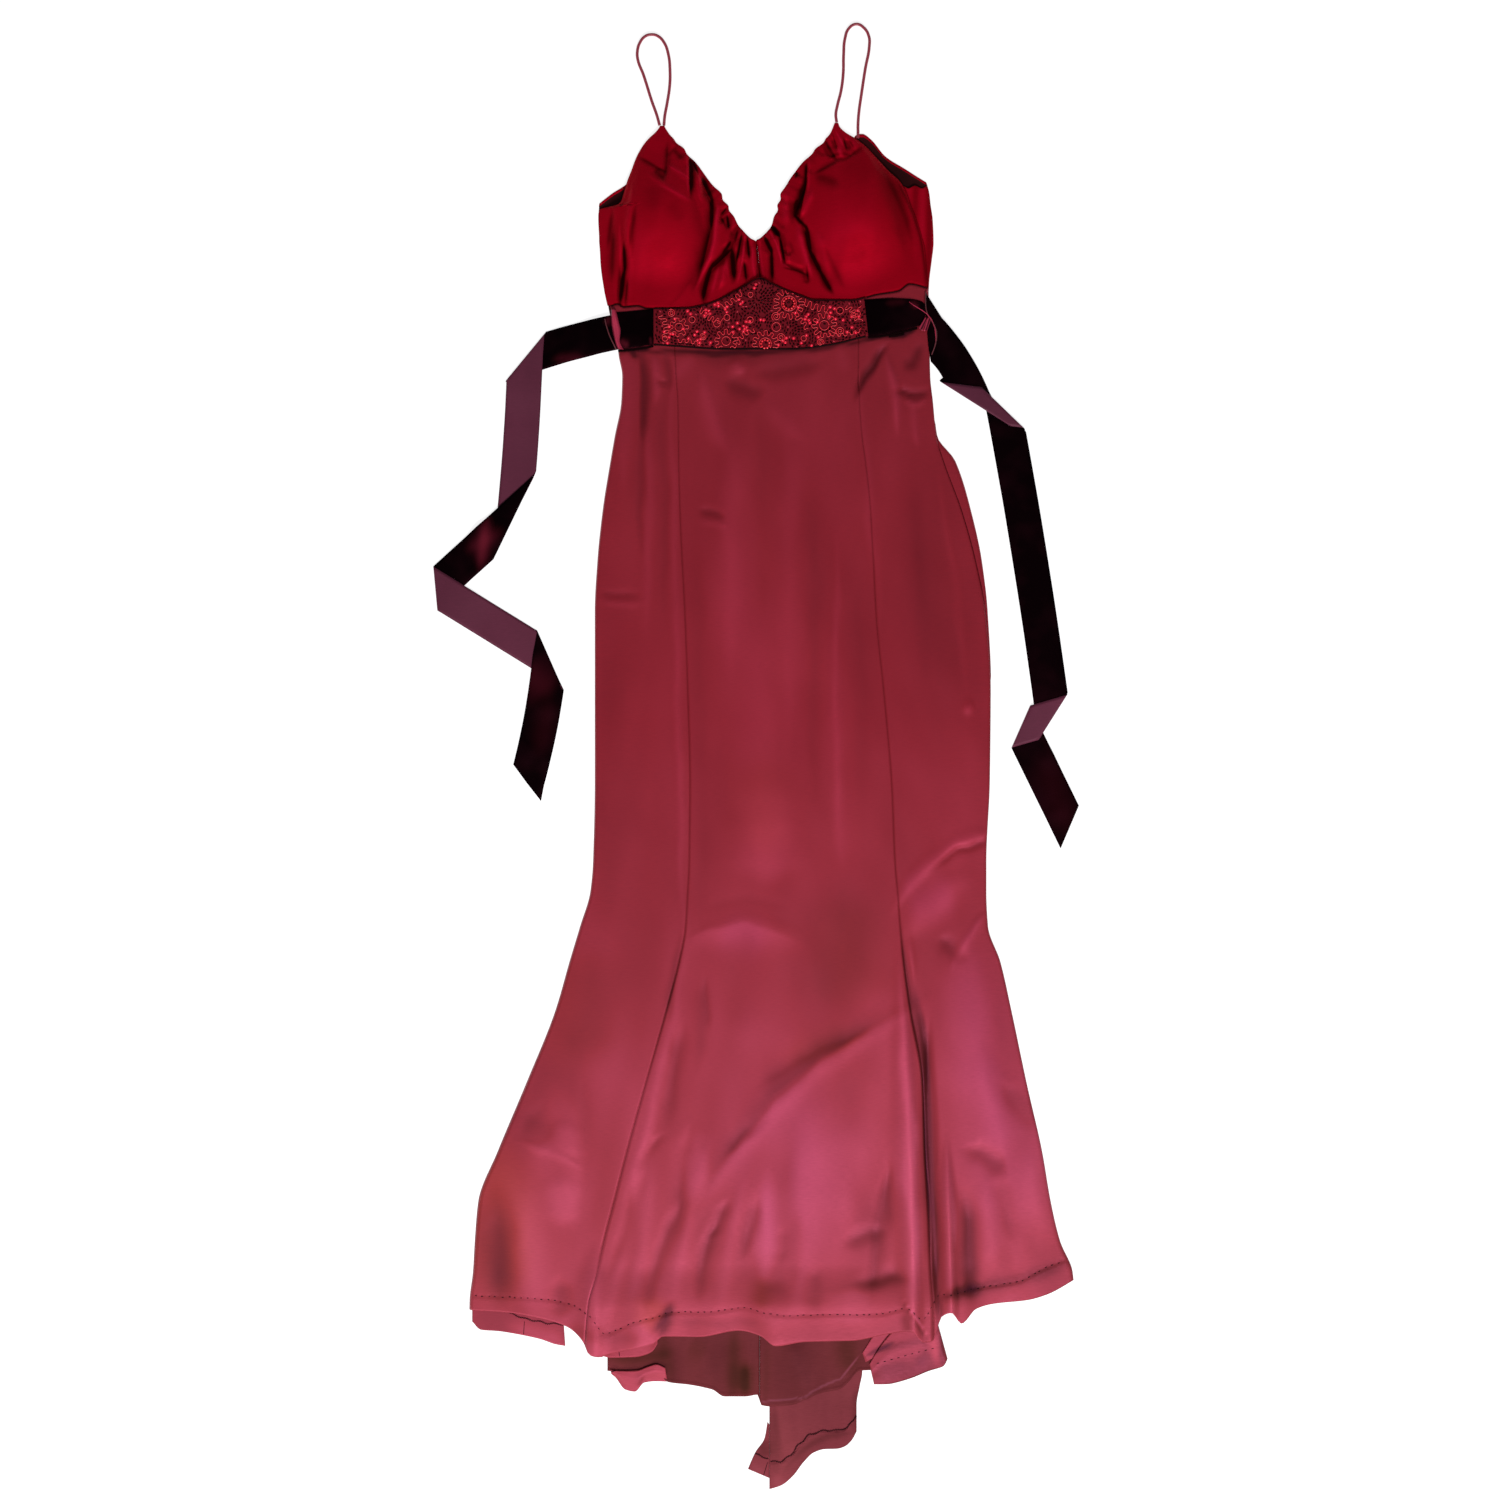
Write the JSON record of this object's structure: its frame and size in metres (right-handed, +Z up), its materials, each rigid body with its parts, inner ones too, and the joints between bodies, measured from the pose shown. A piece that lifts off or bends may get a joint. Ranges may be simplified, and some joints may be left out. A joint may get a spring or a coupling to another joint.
{
  "type": "beaded evening gown",
  "caption": "Satin evening gown laid flat, face up: gathered cups on cord straps, beaded raised waist, two velvet ribbon ties, seamed skirt with flared hem and short train.",
  "frame": {"origin": "under the middle of the gown without its straps, on the surface that it lies on", "axes": "+Z up from the surface, out of the gown's front; +Y from hem to shoulders; +X to the right of someone who looks down at the front"},
  "size_m": [0.7424, 1.6855, 0.029],
  "materials": {
    "satin_red": "crimson silk charmeuse, glossy face",
    "satin_wine": "wine satin, soft sheen",
    "satin_wrong_side": "wrong side of the satin, dull",
    "lining": "thin dark wine lining",
    "velvet": "black-plum velvet ribbon with a plum satin back",
    "beading": "dark red seed beads, couched cord and sequins on dull rose cloth",
    "cord": "satin rouleau cord and thread"
  },
  "bodies": {
    "root": {"cup_left": "satin_red", "cup_right": "satin_red", "bodice_side_right": "satin_red", "bodice_back": "lining", "midriff": "satin_wine", "beaded_panel": "beading", "ribbon_front_left": "velvet", "ribbon_front_right": "velvet", "tie_left": "velvet", "tie_right": "velvet", "strap_left": "cord", "strap_right": "cord", "carrier_left": "cord", "carrier_right": "cord", "skirt_center": "satin_wine", "skirt_side_left": "satin_wine", "skirt_side_right": "satin_wine", "skirt_back": "satin_wine", "back_hem_left": "satin_wine", "hem_flute_left": "satin_wine", "hem_turn_left": "satin_wrong_side", "hem_flute_right": "satin_wine", "hem_turn_right": "satin_wrong_side", "lining_back": "lining", "lining_train": "lining", "train": "satin_wrong_side", "train_flap": "satin_wrong_side"}
  },
  "joints": []
}
